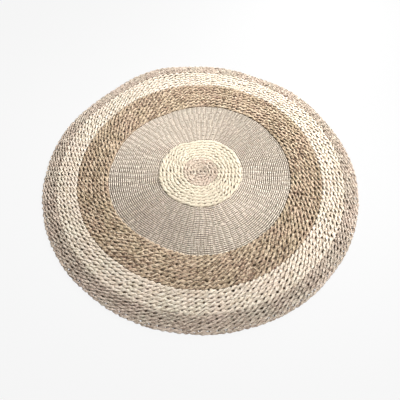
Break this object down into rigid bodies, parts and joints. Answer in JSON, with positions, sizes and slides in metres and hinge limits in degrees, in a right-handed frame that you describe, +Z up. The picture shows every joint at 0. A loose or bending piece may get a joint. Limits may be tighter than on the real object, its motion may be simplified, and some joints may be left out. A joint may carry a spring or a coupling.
{
  "type": "round seagrass rug",
  "caption": "Round flat rug twined from seagrass strands in concentric natural, cream and brown bands, with a fine inner field and a rolled rim.",
  "frame": {"origin": "middle of the weave on the flat underside, where the spokes cross", "axes": "+Z up through the rug's thickness, -Y towards the side nearest the viewer, +X to the viewer's right"},
  "size_m": [1.2024, 1.2057, 0.0233],
  "materials": {
    "natural_centre": "coarse twined seagrass, pale grey beige, matt with a faint straw sheen",
    "cream_ring": "coarse twined seagrass, bleached cream, matt with a faint straw sheen",
    "fine_band": "fine twined seagrass cord over radial spokes, greige, matt",
    "brown_band": "coarse twined seagrass, mottled brown and olive, matt with a faint straw sheen",
    "cream_band": "coarse twined seagrass, bleached cream, matt with a faint straw sheen",
    "natural_border": "coarse twined seagrass, greige with pink and green stems, matt with a faint straw sheen"
  },
  "bodies": {
    "root": {"rug": "fine_band"}
  },
  "joints": []
}
